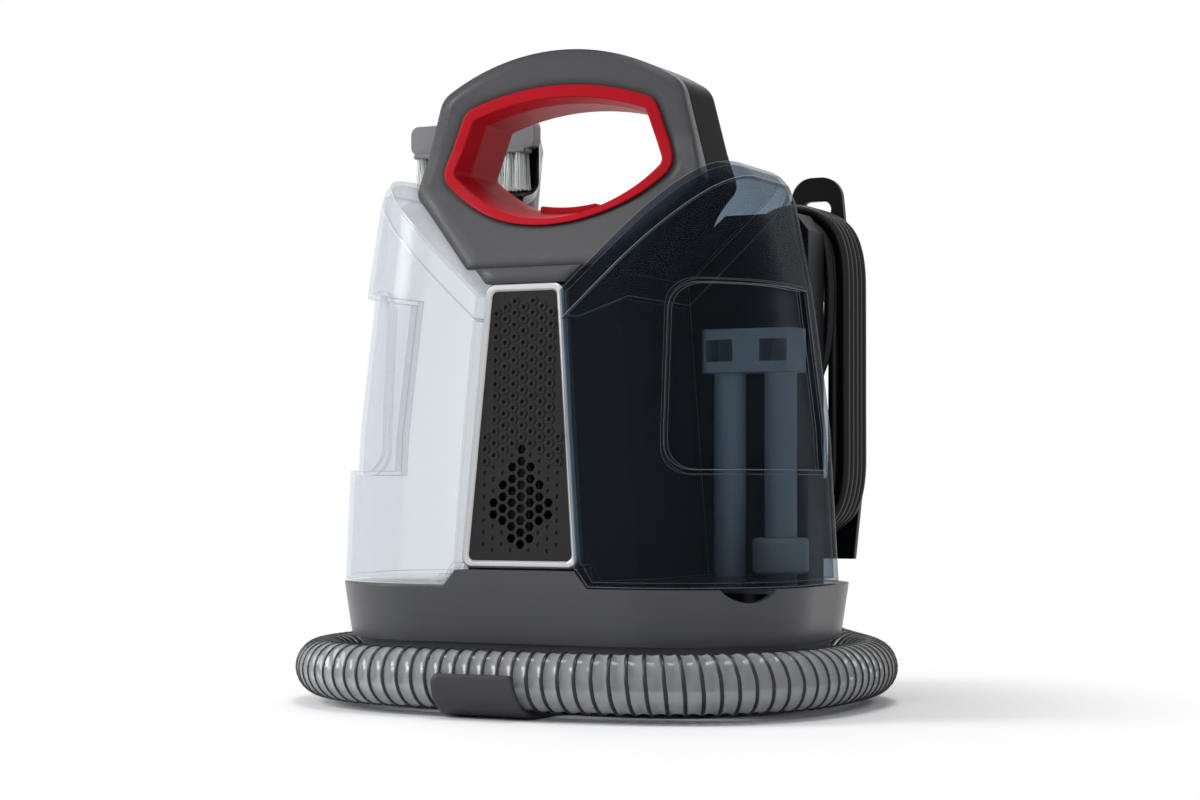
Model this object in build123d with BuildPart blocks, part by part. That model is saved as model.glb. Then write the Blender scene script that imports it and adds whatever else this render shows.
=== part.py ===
from build123d import *
import math
import os

# Portable spot cleaner: two tanks either side of a column, a carry handle on top and a hose round the base.
# Millimetres, +Z up, the front faces -Y, and the origin is on the floor under the middle of the base.

# Base
FEET_HEIGHT = 4.0
SKIRT_BOTTOM = 36.0
SEAT_TOP = 66.0
PAD_TOP = 75.0
PAD_HALF_LOW = 43.0
PAD_HALF_HIGH = 35.5
PAD_BACK = -85.5
WALL = 2.6
TRAY_HALF = (130.0, 93.0, 78.0)
SKIRT_HALF = (135.0, 95.0, 78.0)
BASE_HALF = (139.0, 97.0, 78.0)
FOOT_PLACE = (92.0, 58.0)
FOOT_RADIUS = 9.0
SCREW_PLACE = (86.0, 70.0)
SCREW_RADIUS = 2.0

# Tanks: height, half width, half depth, shift and front corner radius of the body at each level
TANK_LEVELS = [
    (67.0, 138.6, 96.6, 0.0, 78.0),
    (150.0, 133.8, 93.2, -2.4, 76.0),
    (225.0, 124.0, 85.5, -6.0, 70.0),
    (275.0, 113.5, 77.5, -9.5, 60.0),
    (284.0, 109.5, 73.8, -10.3, 55.0),
    (289.0, 105.0, 69.3, -10.8, 50.0),
    (292.0, 100.0, 64.5, -11.2, 45.0),
]
TANK_CORNER = 26.0
TANK_BOTTOM = 67.0
TANK_BACK = 39.5
TANK_WALL = 2.4
TANK_GAP = 1.2
SEAM_DROP = 16.0
RECESS_DEPTH = 4.5
RECESS_Z = (128.0, 225.0)
RECESS_X = 84.0
RECESS_BACK = 8.0
CAP_PLACE = (78.0, -14.0)
CAP_RADIUS = 19.0
CAP_BOTTOM = 53.0
CAP_TOP = 66.2
CAP_NECK = 16.0
WELL_FLOOR = 48.0
WELL_TRAVEL = 22.0
WELL_PLACES = [(side * (CAP_PLACE[0] + WELL_TRAVEL / 2), CAP_PLACE[1]) for side in (-1, 1)]
INLET_PLACE = (72.0, 24.0)
OUTLET_PLACE = (104.0, 20.0)
RISER_RADIUS = 9.0
HOOD_LOW = 182.0
FLOAT_LOW = 71.0
VALVE_STEM = 3.95

# Column and rear housing
COLUMN_TOP = 236.0
COLUMN_SPLIT = -20.0
COLUMN_BACK = 41.0
REAR_BACK = 65.0
FAN_PLACE = (0.0, -3.0)
PUMP = (-50.0, 45.0, 20.6)
COVER_THICK = 2.5
REAR_OUTLINE = [(-92, 66), (-92, 222), (-78, 240), (34, 248), (62, 272), (104, 272), (112, 262), (112, 66)]

# Front panel: the foot and the head of its face, seen from the side
PANEL_LOW = (-91.5, 76.0)
PANEL_HIGH = (-85.5, 227.0)
PANEL_HALF_LOW = 35.3
PANEL_HALF_HIGH = 22.8
PANEL_DEPTH = 7.0
RAIL = 4.0
CELL = 6.3

# Upper housing and carry handle
NECK_HALF = 29.0
NECK_FOOT = 228.0
WING = (87.0, 281.0)
SHOULDER = (73.0, 335.0)
CROWN = 357.5
HOUSING_FOOT = 236.0
GRIP_FRONT = -45.0
GRIP_BACK = -3.0
GRIP_SPLIT = -38.0
LINER_SIDE = (71.3, 291.0)
LINER_TOP = (57.8, 327.0)
LINER_CROWN = 338.0
LINER_FOOT = 260.0
LINER_BEVEL = 9.0
SWITCH = (0.0, -25.0, 255.0)

# Suction hose: tube sizes and the route of its centreline
HOSE_OD = 32.0
HOSE_ID = 25.0
HOSE_GROOVE = 1.4
HOSE_PITCH = 8.4
HOSE_SPAN = 12
HOSE_ROUTE = [
    (-20.0, 120.0, 19.0),
    (-75.8, 120.0, 19.0),
    (-122.2, 93.2, 19.0),
    (-149.0, 46.8, 19.0),
    (-149.0, -44.8, 19.0),
    (-122.2, -91.2, 19.0),
    (-75.8, -118.0, 19.0),
    (0.0, -120.5, 19.0),
    (75.8, -118.0, 19.0),
    (122.2, -91.2, 19.0),
    (149.0, -44.8, 19.0),
    (149.0, 40.0, 19.0),
    (133.8, 76.7, 19.0),
    (105.7, 104.8, 21.0),
    (68.9, 120.5, 30.0),
    (32.0, 121.5, 46.0),
    (-5.0, 120.0, 61.5),
    (-36.0, 117.0, 85.0),
    (-58.0, 111.5, 117.0),
    (-69.0, 107.0, 155.0),
]

# Mains cord wound on the two rear hooks
CORD_OD = 6.2
CORD_STEP = 6.7
CORD_HALF_TURNS = 11
HOOK_X = 90.0
HOOK_HIGH = 247.0
HOOK_LOW = 123.0
HOOK_RADIUS = 20.0
HOOK_REACH = 111.0
HOOK_TIP = 4.0
CORD_FIRST_Y = 69.8
CORD_INNER = HOOK_RADIUS + 0.5 + CORD_OD / 2

# Hand tool: its handle carries on along the hose's last run, and its sole faces the front
GRIP_LENGTH = 104.0
SPIGOT = 12.9
SPIGOT_LENGTH = 14.0
SOLE = (-104.5, 54.0, 314.0)
SOLE_SIZE = (82.0, 44.0)

os.makedirs("parts", exist_ok=True)


def save(piece, name):
    piece.label = name
    export_step(piece, f"parts/{name}.step")


def drum(low, low_half, high, high_half, inset=0.0):
    """A solid between two rounded rectangles, given by half width, half depth and corner radius."""
    with BuildPart() as body:
        for z, half in ((low, low_half), (high, high_half)):
            with BuildSketch(Plane.XY.offset(z)):
                RectangleRounded(2 * (half[0] - inset), 2 * (half[1] - inset), half[2] - inset)
        loft(ruled=True)
    return body.part


def side_prism(points, y_low, y_high):
    """A straight prism along Y from an outline in X and Z."""
    with BuildPart() as prism:
        with BuildSketch(Plane.XZ.offset(-y_high)):
            Polygon(*points, align=None)
        extrude(amount=y_high - y_low)
    return prism.part


def column_half(z):
    """Half the column's width at a height, at its front face and behind it."""
    share = (z - SEAT_TOP) / (COLUMN_TOP - SEAT_TOP)
    return 35.0 - 13.0 * share, 50.0 - 13.0 * share


def panel_face(z):
    """How far forward the front panel lies at that height."""
    share = (z - PANEL_LOW[1]) / (PANEL_HIGH[1] - PANEL_LOW[1])
    return PANEL_LOW[0] + share * (PANEL_HIGH[0] - PANEL_LOW[0])


def column_block(inset, low, high):
    """The column between the tanks: narrow behind the panel, wider at the motor, tapering upwards."""
    with BuildPart() as block:
        for z in (low, high):
            near, far = column_half(z)
            front = panel_face(z) + PANEL_DEPTH + inset
            half = [(near - inset, front), (far - inset, -46.0), (far - inset, COLUMN_BACK - inset)]
            with BuildSketch(Plane.XY.offset(z)):
                Polygon(*half, *[(-x, y) for x, y in reversed(half)], align=None)
        loft(ruled=True)
    return block.part


def tube(points, outer, bend, inner=0.0):
    """A round pipe or rod along straight runs with one bend radius."""
    with BuildPart() as pipe:
        with BuildLine() as path:
            if len(points) > 2:
                FilletPolyline(*points, radius=bend)
            else:
                Line(*points)
        mouth = Plane(path.wire() @ 0, z_dir=path.wire() % 0)
        with BuildSketch(mouth):
            Circle(outer)
            if inner:
                Circle(inner, mode=Mode.SUBTRACT)
        sweep(path=path.wire())
    return pipe.part


# Base tray: the lower pan, set in all round so that the hose lies beside it
with BuildPart() as base_tray:
    add(drum(FEET_HEIGHT, TRAY_HALF, SKIRT_BOTTOM, TRAY_HALF))
    add(drum(FEET_HEIGHT + WALL, TRAY_HALF, SKIRT_BOTTOM + 1, TRAY_HALF, WALL), mode=Mode.SUBTRACT)
    with BuildSketch(Plane.XY.offset(FEET_HEIGHT)):
        with GridLocations(2 * SCREW_PLACE[0], 2 * SCREW_PLACE[1], 2, 2):
            Circle(6.0)
    extrude(amount=SKIRT_BOTTOM - FEET_HEIGHT)
    with Locations((0, 0, FEET_HEIGHT)):
        with GridLocations(2 * SCREW_PLACE[0], 2 * SCREW_PLACE[1], 2, 2):
            Cylinder(SCREW_RADIUS + 0.2, 80, mode=Mode.SUBTRACT)
            Cylinder(4.2, 8, mode=Mode.SUBTRACT)
    with Locations(Location((0, 90, 19), (90, 0, 0))):
        Cylinder(16.5, 20, mode=Mode.SUBTRACT)
save(base_tray.part, "base_tray")

# Feet: four rubber pads under the tray
with BuildPart() as rubber_feet:
    with GridLocations(2 * FOOT_PLACE[0], 2 * FOOT_PLACE[1], 2, 2):
        Cylinder(FOOT_RADIUS, FEET_HEIGHT, align=(Align.CENTER, Align.CENTER, Align.MIN))
    chamfer(rubber_feet.faces().group_by(Axis.Z)[0].edges(), 0.8)
save(rubber_feet.part, "rubber_feet")

# Screws that join tray and shell
with BuildPart() as base_screws:
    with Locations((0, 0, FEET_HEIGHT + 4.0)):
        with GridLocations(2 * SCREW_PLACE[0], 2 * SCREW_PLACE[1], 2, 2):
            Cylinder(SCREW_RADIUS, 42, align=(Align.CENTER, Align.CENTER, Align.MIN))
    with Locations((0, 0, FEET_HEIGHT + 1.4)):
        with GridLocations(2 * SCREW_PLACE[0], 2 * SCREW_PLACE[1], 2, 2):
            Cylinder(3.8, 2.6, align=(Align.CENTER, Align.CENTER, Align.MIN))
save(base_screws.part, "base_screws")

# Base shell: the flared skirt and the deck that carries the tanks, with a raised pad under the panel
with BuildPart() as base_shell:
    add(drum(SKIRT_BOTTOM, SKIRT_HALF, SEAT_TOP, BASE_HALF))
    add(drum(SEAT_TOP, BASE_HALF, PAD_TOP, BASE_HALF))
    slope = [(PAD_HALF_LOW, SEAT_TOP), (PAD_HALF_HIGH, PAD_TOP)]
    pad_side = [*slope, (PAD_HALF_HIGH, 90), (160, 90), (160, SEAT_TOP)]
    add(side_prism(pad_side, -120, 120), mode=Mode.SUBTRACT)
    add(side_prism([(-x, z) for x, z in pad_side], -120, 120), mode=Mode.SUBTRACT)
    with Locations((0, PAD_BACK, SEAT_TOP)):
        Box(120, 220, 30, align=(Align.CENTER, Align.MIN, Align.MIN), mode=Mode.SUBTRACT)
    add(drum(SKIRT_BOTTOM - 1, SKIRT_HALF, SEAT_TOP - WALL, BASE_HALF, WALL), mode=Mode.SUBTRACT)
    with BuildSketch(Plane.XY.offset(SEAT_TOP - 2 * WALL)):
        with Locations(*WELL_PLACES):
            SlotCenterToCenter(WELL_TRAVEL, 2 * (CAP_RADIUS + 2 + WALL))
        with Locations(INLET_PLACE, OUTLET_PLACE):
            Circle(RISER_RADIUS + 4)
    extrude(amount=4 * WALL, mode=Mode.SUBTRACT)
    with Locations((*FAN_PLACE, SEAT_TOP)):
        Cylinder(5.2, 20, mode=Mode.SUBTRACT)
    with BuildSketch(Plane.XY.offset(SKIRT_BOTTOM)):
        with GridLocations(2 * SCREW_PLACE[0], 2 * SCREW_PLACE[1], 2, 2):
            Circle(5.5)
    extrude(amount=SEAT_TOP - SKIRT_BOTTOM - 1)
    with Locations((0, 0, SKIRT_BOTTOM)):
        with GridLocations(2 * SCREW_PLACE[0], 2 * SCREW_PLACE[1], 2, 2):
            Cylinder(SCREW_RADIUS + 0.05, 36, mode=Mode.SUBTRACT)
    with Locations(Location((112, -66, SEAT_TOP + 9), (0, 90, 45))):
        Cylinder(16, 60, mode=Mode.SUBTRACT)
save(base_shell.part, "base_shell")

# Wells: two long cups let into the deck, in which the tanks' caps sit and move out
with BuildPart() as tank_wells:
    outside = (WELL_FLOOR - WALL, CAP_RADIUS + 2 + WALL, Mode.ADD)
    inside = (WELL_FLOOR, CAP_RADIUS + 2, Mode.SUBTRACT)
    for low, radius, mode in (outside, inside):
        with BuildSketch(Plane.XY.offset(low)):
            with Locations(*WELL_PLACES):
                SlotCenterToCenter(WELL_TRAVEL, 2 * radius)
        extrude(amount=SEAT_TOP - low, mode=mode)
    with Locations((-CAP_PLACE[0], CAP_PLACE[1], WELL_FLOOR)):
        Cylinder(5.2, 20, mode=Mode.SUBTRACT)
    with BuildSketch(Plane.XY.offset(52)):
        with Locations(INLET_PLACE, OUTLET_PLACE):
            Circle(RISER_RADIUS + 4)
    extrude(amount=SEAT_TOP - 52, mode=Mode.SUBTRACT)
save(tank_wells.part, "tank_wells")

# Collars of the two ports through which air goes into and out of the dirty tank
with BuildPart() as port_collars:
    with BuildSketch(Plane.XY.offset(52)):
        with Locations(INLET_PLACE, OUTLET_PLACE):
            Circle(RISER_RADIUS + 4)
            Circle(RISER_RADIUS, mode=Mode.SUBTRACT)
    extrude(amount=SEAT_TOP - 52)
save(port_collars.part, "port_collars")

# Hose clip: a tongue under the hose that turns up in front of it
CLIP_INNER = HOSE_OD / 2 + 0.6
CLIP_OUTER = CLIP_INNER + 2.2
CLIP_Y, CLIP_Z = HOSE_ROUTE[7][1], HOSE_ROUTE[7][2]
with BuildPart() as hose_clip:
    with BuildSketch(Plane.YZ):
        with Locations((CLIP_Y, CLIP_Z)):
            Circle(CLIP_OUTER)
            Circle(CLIP_INNER, mode=Mode.SUBTRACT)
        with Locations((CLIP_Y, CLIP_Z + 4)):
            Rectangle(60, 60, align=(Align.MIN, Align.CENTER), mode=Mode.SUBTRACT)
            Rectangle(60, 60, align=(Align.CENTER, Align.MIN), mode=Mode.SUBTRACT)
        with Locations((CLIP_Y, CLIP_Z - CLIP_OUTER)):
            Rectangle(50, 2.2, align=Align.MIN)
        with Locations((-90, CLIP_Z - CLIP_OUTER)):
            Rectangle(19.5, FEET_HEIGHT - CLIP_Z + CLIP_OUTER, align=Align.MIN)
    extrude(amount=26, both=True)
    with BuildSketch(Plane.XZ.offset(100)) as clip_front:
        Polygon((-26, -6), (-26, 24), (20, 24), (27, -6), align=None)
        fillet(clip_front.vertices().group_by(Axis.Y)[-1], 6)
    extrude(amount=80, both=True, mode=Mode.INTERSECT)
save(hose_clip.part, "hose_clip")


# Tanks: one form, made once and mirrored
RUN = Vector(WING[0] - NECK_HALF, 0, WING[1] - NECK_FOOT).normalized()
ROOF_UP = Vector(-RUN.Z, 0, RUN.X)


def roof_height(x, drop):
    """Height of the tank's roof line at that X, lowered square to the roof."""
    foot = Vector(NECK_HALF, 0, NECK_FOOT) - ROOF_UP * drop
    return foot.Z + (x - foot.X) * RUN.Z / RUN.X


def tank_core(inset):
    """The right-hand tank before its roof, seat and recess are cut, drawn in by the inset."""
    gap = TANK_GAP + inset
    with BuildPart() as core:
        for z, half_x, half_y, shift, corner in TANK_LEVELS:
            near, far = column_half(z)
            front, back = shift - half_y + inset, TANK_BACK - inset
            side = half_x - inset
            bend, turn = corner - inset, TANK_CORNER - inset
            with BuildSketch(Plane.XY.offset(z)):
                with BuildLine():
                    Line((near + gap, front), (side - bend, front))
                    RadiusArc((side - bend, front), (side, front + bend), -bend)
                    Line((side, front + bend), (side, back - turn))
                    RadiusArc((side, back - turn), (side - turn, back), -turn)
                    Polyline((side - turn, back), (far + gap, back), (far + gap, -44.0))
                    Polyline((far + gap, -44.0), (near + gap, front + 12.0), (near + gap, front))
                make_face()
        loft(ruled=True)
    return core.part


def hand_scoop(inset):
    """What the finger recess takes out of the tank's outer front corner."""
    with BuildPart() as scoop:
        with BuildSketch(Plane.XZ.offset(-RECESS_BACK - inset)):
            with Locations((RECESS_X - inset, RECESS_Z[0] - inset)):
                RectangleRounded(100, RECESS_Z[1] - RECESS_Z[0] + 2 * inset, 14, align=Align.MIN)
        extrude(amount=140)
        add(tank_core(RECESS_DEPTH + inset), mode=Mode.SUBTRACT)
    return scoop.part


def tank_form(inset):
    """The right-hand tank as a solid, drawn in by the inset on every side."""
    roof = TANK_GAP + inset
    grow = 1.0 + inset
    low, high = PAD_HALF_LOW + grow, PAD_HALF_HIGH + grow
    with BuildPart() as form:
        add(tank_core(inset))
        above = [(-10, roof_height(-10, roof)), (140, roof_height(140, roof)), (140, 400), (-10, 400)]
        add(side_prism(above, -150, 150), mode=Mode.SUBTRACT)
        if inset:
            with Locations((0, 0, TANK_BOTTOM + inset)):
                Box(400, 400, 60, align=(Align.CENTER, Align.CENTER, Align.MAX), mode=Mode.SUBTRACT)
        pad = [(0, 50), (low, 50), (low, SEAT_TOP), (high, PAD_TOP + grow), (0, PAD_TOP + grow)]
        add(side_prism(pad, -150, PAD_BACK + grow), mode=Mode.SUBTRACT)
        add(hand_scoop(inset), mode=Mode.SUBTRACT)
    return form.part


with BuildPart() as tank_shell:
    add(tank_form(0.0))
    add(tank_form(TANK_WALL), mode=Mode.SUBTRACT)
SEAM = Plane(
    origin=(NECK_HALF, 0, roof_height(NECK_HALF, TANK_GAP) - SEAM_DROP), x_dir=RUN, z_dir=ROOF_UP
)


def tank_half(name, side, keep, floor_holes=()):
    """One moulding of a tank: the part below or above the slanted seam."""
    with BuildPart() as half:
        add(tank_shell.part)
        split(bisect_by=SEAM, keep=keep)
        if keep == Keep.BOTTOM:
            with Locations((*CAP_PLACE, TANK_BOTTOM + TANK_WALL)):
                Cylinder(CAP_NECK, 12.2, align=(Align.CENTER, Align.CENTER, Align.MAX))
            for x, y, radius in [(*CAP_PLACE, CAP_NECK - 2.5), *floor_holes]:
                with Locations((x, y, TANK_BOTTOM)):
                    Cylinder(radius, 40, mode=Mode.SUBTRACT)
        if side < 0:
            mirror(about=Plane.YZ, mode=Mode.REPLACE)
    save(half.part, name)


RISERS = [(*INLET_PLACE, RISER_RADIUS), (*OUTLET_PLACE, RISER_RADIUS)]
tank_half("clean_tank_body", -1, Keep.BOTTOM)
tank_half("clean_tank_top", -1, Keep.TOP)
tank_half("dirty_tank_body", 1, Keep.BOTTOM, RISERS)
tank_half("dirty_tank_top", 1, Keep.TOP)

# Caps under the tanks: each cup screws on the neck, and the clean one holds a push-up valve
UP = (Align.CENTER, Align.CENTER, Align.MIN)


def tank_cap(name, side, hole):
    """A screw cap with a cross bar and finger ribs, and its sealing ring."""
    place = (side * CAP_PLACE[0], CAP_PLACE[1])
    with BuildPart() as cap:
        with Locations((*place, CAP_BOTTOM)):
            Cylinder(CAP_RADIUS - 0.8, CAP_TOP - CAP_BOTTOM, align=UP)
        with BuildSketch(Plane.XY.offset(CAP_BOTTOM + 2)):
            with Locations(place):
                with PolarLocations(CAP_RADIUS - 0.8, 24):
                    Circle(0.8)
        extrude(amount=CAP_TOP - CAP_BOTTOM - 2)
        with Locations((*place, CAP_BOTTOM + 3)):
            Cylinder(CAP_NECK + 0.3, 30, align=UP, mode=Mode.SUBTRACT)
        if hole:
            with Locations((*place, CAP_BOTTOM)):
                Cylinder(hole, 20, mode=Mode.SUBTRACT)
        else:
            with Locations((*place, CAP_BOTTOM)):
                Cylinder(9, 3, mode=Mode.SUBTRACT)
    save(cap.part, f"{name}_tank_cap")
    with BuildPart() as seal:
        with Locations((*place, CAP_BOTTOM + 3)):
            Cylinder(CAP_NECK, 1.1, align=UP)
            Cylinder(CAP_NECK - 3, 1.1, align=UP, mode=Mode.SUBTRACT)
    save(seal.part, f"{name}_cap_seal")


tank_cap("clean", -1, VALVE_STEM + 0.05)
tank_cap("dirty", 1, 0)

# Valve: a stem that the receiver pushes up, with a head that closes the cap's hole
with BuildPart() as valve_poppet:
    with Locations((-CAP_PLACE[0], CAP_PLACE[1], 50.6)):
        Cylinder(VALVE_STEM, 7.9, align=UP)
    with Locations((-CAP_PLACE[0], CAP_PLACE[1], CAP_BOTTOM + 3.0)):
        Cylinder(7, 2.5, align=UP)
save(valve_poppet.part, "valve_poppet")

# Receiver: the disc in the well floor that opens the valve, with its nipple below
with BuildPart() as tank_receiver:
    with Locations((-CAP_PLACE[0], CAP_PLACE[1], WELL_FLOOR)):
        Cylinder(12, 2, align=UP)
        Cylinder(5, 10, align=(Align.CENTER, Align.CENTER, Align.MAX))
        Cylinder(2.5, 40, mode=Mode.SUBTRACT)
save(tank_receiver.part, "tank_receiver")

# Gaskets on the deck round the two ports of the dirty tank
with BuildPart() as port_gaskets:
    with Locations((*INLET_PLACE, SEAT_TOP), (*OUTLET_PLACE, SEAT_TOP)):
        Cylinder(RISER_RADIUS + 4, 0.7, align=UP)
        Cylinder(RISER_RADIUS, 4, mode=Mode.SUBTRACT)
save(port_gaskets.part, "port_gaskets")

# Inside the dirty tank: two risers, a hood that turns the air back and a float that shuts it off
with BuildPart() as separator_tubes:
    with Locations((*INLET_PLACE, TANK_BOTTOM), (*OUTLET_PLACE, TANK_BOTTOM)):
        Cylinder(RISER_RADIUS, HOOD_LOW - TANK_BOTTOM, align=UP)
        Cylinder(RISER_RADIUS - 1.8, 400, mode=Mode.SUBTRACT)
save(separator_tubes.part, "separator_tubes")

with BuildPart() as separator_hood:
    with Locations((88, 20, HOOD_LOW)):
        Box(56, 24, 24, align=UP)
    fillet(separator_hood.edges().filter_by(Axis.Z), 6)
    with Locations((72, 20, HOOD_LOW + 2), (104, 20, HOOD_LOW + 2)):
        Box(20, 20, 20, align=UP, mode=Mode.SUBTRACT)
    with Locations((*INLET_PLACE, HOOD_LOW), (*OUTLET_PLACE, HOOD_LOW)):
        Cylinder(RISER_RADIUS - 1.8, 10, mode=Mode.SUBTRACT)
    with Locations((72, 8, HOOD_LOW + 12), (104, 8, HOOD_LOW + 12)):
        Box(16, 12, 12, mode=Mode.SUBTRACT)
save(separator_hood.part, "separator_hood")

with BuildPart() as float_ring:
    with Locations((*OUTLET_PLACE, FLOAT_LOW)):
        Cylinder(15.5, 20, align=UP)
    fillet(float_ring.edges(), 2.5)
    with Locations((*OUTLET_PLACE, FLOAT_LOW)):
        Cylinder(RISER_RADIUS + 0.5, 60, mode=Mode.SUBTRACT)
save(float_ring.part, "float_ring")

# Column: front and rear halves round the motor, with an air window behind the grille
with BuildPart() as column:
    add(column_block(0, SEAT_TOP, COLUMN_TOP))
    add(column_block(WALL, SEAT_TOP, COLUMN_TOP), mode=Mode.SUBTRACT)
    with Locations((0, -85, 84)):
        Box(36, 30, 70, align=UP, mode=Mode.SUBTRACT)
    with Locations((0, COLUMN_BACK, 90)):
        Box(56, 20, 120, align=UP, mode=Mode.SUBTRACT)
for name, keep in (("column_front", Keep.BOTTOM), ("column_rear", Keep.TOP)):
    with BuildPart() as column_part:
        add(column.part)
        split(bisect_by=Plane.XZ.offset(-COLUMN_SPLIT).rotated((180, 0, 0)), keep=keep)
    save(column_part.part, name)

# Fan and motor in the column
with BuildPart() as fan_housing:
    with Locations((*FAN_PLACE, SEAT_TOP)):
        Cylinder(41, 26, align=UP)
    with Locations((*FAN_PLACE, SEAT_TOP + 2)):
        Cylinder(39, 22, align=UP, mode=Mode.SUBTRACT)
    with Locations((*FAN_PLACE, SEAT_TOP)):
        Cylinder(10, 4, mode=Mode.SUBTRACT)
        Cylinder(5, 80, mode=Mode.SUBTRACT)
    with Locations((0, FAN_PLACE[1] - 40, SEAT_TOP + 13)):
        Box(30, 20, 16, mode=Mode.SUBTRACT)
save(fan_housing.part, "fan_housing")

with BuildPart() as impeller:
    with Locations((*FAN_PLACE, SEAT_TOP + 6)):
        Cylinder(36, 2, align=UP)
        Cylinder(9, 14, align=UP)
    with BuildSketch(Plane.XY.offset(SEAT_TOP + 7)):
        with Locations(FAN_PLACE):
            with PolarLocations(23, 10):
                with Locations(Location((0, 0), 35)):
                    Rectangle(26, 1.6)
    extrude(amount=11)
    with Locations((*FAN_PLACE, SEAT_TOP)):
        Cylinder(3, 80, mode=Mode.SUBTRACT)
save(impeller.part, "impeller")

with BuildPart() as motor_shaft:
    with Locations((*FAN_PLACE, SEAT_TOP + 6)):
        Cylinder(3, 74, align=UP)
save(motor_shaft.part, "motor_shaft")

with BuildPart() as motor_can:
    with Locations((*FAN_PLACE, SEAT_TOP + 26)):
        Cylinder(35, 62, align=UP)
    fillet(motor_can.edges().group_by(Axis.Z)[-1], 5)
    with Locations((*FAN_PLACE, SEAT_TOP + 26)):
        Cylinder(3.05, 110, mode=Mode.SUBTRACT)
    with Locations((*FAN_PLACE, SEAT_TOP + 58)):
        with PolarLocations(34, 12):
            Box(6, 3, 34, mode=Mode.SUBTRACT)
save(motor_can.part, "motor_can")

with BuildPart() as motor_mount:
    with Locations((*FAN_PLACE, SEAT_TOP + 88)):
        Cylinder(37, 5, align=UP)
        Cylinder(24, 20, mode=Mode.SUBTRACT)
save(motor_mount.part, "motor_mount")

# Pump in the tray and the pipes in the base
with BuildPart() as pump:
    with Locations(Location(PUMP, (0, 90, 0))):
        Cylinder(14, 50)
    with Locations((PUMP[0], PUMP[1], FEET_HEIGHT + WALL)):
        Box(30, 24, 14, align=UP)
save(pump.part, "pump")
PIPES = {
    "water_tube_supply": (
        [(-78, -14, 38), (-78, -14, PUMP[2]), (-97, *PUMP[1:]), (PUMP[0] - 25, *PUMP[1:])], 3, 5, 2),
    "water_tube_pressure": (
        [(PUMP[0] + 25, *PUMP[1:]), (-20, *PUMP[1:]), (-20, TRAY_HALF[1] - WALL, PUMP[2])], 3, 4.5, 2),
    "suction_duct": ([(0, 86, 20), (0, 50, 20), (*INLET_PLACE, 20), (*INLET_PLACE, 52)], 13, 16, 11),
    "air_duct": (
        [(*OUTLET_PLACE, 52), (*OUTLET_PLACE, 30), (104, -20, 30), (*FAN_PLACE, 30),
         (*FAN_PLACE, SEAT_TOP - WALL)], 8, 12, 6),
}
for name, (points, outer, bend, inner) in PIPES.items():
    save(tube(points, outer, bend, inner), name)

# Front panel: a bright frame and the black perforated plate inside it
PANEL = Plane(
    origin=(0, *PANEL_LOW),
    x_dir=(1, 0, 0),
    z_dir=(0, PANEL_LOW[1] - PANEL_HIGH[1], PANEL_HIGH[0] - PANEL_LOW[0]),
)
PANEL_HEIGHT = math.dist(PANEL_LOW, PANEL_HIGH)


def panel_half(height, inset):
    """Half the panel's width at a height along its face."""
    return PANEL_HALF_LOW + (PANEL_HALF_HIGH - PANEL_HALF_LOW) * height / PANEL_HEIGHT - inset


def panel_outline(inset, corner):
    low, high = inset, PANEL_HEIGHT - inset
    with BuildSketch() as outline:
        half = [(panel_half(low, inset), low), (panel_half(high, inset), high)]
        Polygon(*half, *[(-x, y) for x, y in reversed(half)], align=None)
        fillet(outline.vertices(), corner)
    return outline.sketch


with BuildPart() as front_bezel:
    with BuildSketch(PANEL):
        add(panel_outline(0, 6))
        add(panel_outline(RAIL, 3), mode=Mode.SUBTRACT)
    extrude(amount=PANEL_DEPTH * PANEL.z_dir.Y)
    chamfer(front_bezel.faces().sort_by(Axis(PANEL.origin, PANEL.z_dir))[-1].edges(), 1.0)
save(front_bezel.part, "front_bezel")

PLATE = PANEL.offset(-1.2)
ringed, plain, vents = [], [], []
for row in range(26):
    for column_step in range(-7, 8):
        x = column_step * CELL * math.sqrt(3) / 2
        y = (row + (column_step % 2) / 2) * CELL
        if RAIL + 4 < y < PANEL_HEIGHT - RAIL - 4 and abs(x) < panel_half(y, RAIL + 3.6):
            if abs(x) / 20 + abs(y - 34) / 32 < 1:
                vents.append((x, y))
            elif y > 62 - abs(x) * 0.3:
                ringed.append((x, y))
            else:
                plain.append((x, y))
with BuildPart() as front_grille:
    with BuildSketch(PLATE):
        add(panel_outline(RAIL, 3))
    extrude(amount=-2.4)
    with BuildSketch(PLATE):
        with Locations(*ringed):
            RegularPolygon(CELL / 2 - 0.35, 6)
    extrude(amount=0.6)
    with BuildSketch(PLATE.offset(0.6)):
        with Locations(*ringed, *plain):
            Circle(1.15)
    extrude(amount=-1.6, mode=Mode.SUBTRACT)
    with BuildSketch(PLATE):
        with Locations(*vents):
            RegularPolygon(CELL / 2 - 0.5, 6)
    extrude(amount=-6, mode=Mode.SUBTRACT)
save(front_grille.part, "front_grille")

# Neck: the dark wedge that joins the panel's head to the housing above it
with BuildPart() as neck_collar:
    with BuildSketch(Plane.YZ):
        foot = PANEL_HIGH[1] + 0.3
        back = [panel_face(z) + PANEL_DEPTH for z in (foot, HOUSING_FOOT)]
        Polygon((PANEL_HIGH[0] + 0.6, foot), (back[0], foot), (back[1], HOUSING_FOOT), (-81.5, HOUSING_FOOT),
                align=None)
    extrude(amount=40, both=True)
    neck = [(PANEL_HALF_HIGH + 0.6, foot), (32, HOUSING_FOOT)]
    with BuildSketch(Plane.XZ):
        Polygon(*neck, *[(-x, z) for x, z in reversed(neck)], align=None)
    extrude(amount=200, both=True, mode=Mode.INTERSECT)
save(neck_collar.part, "neck_collar")


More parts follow.
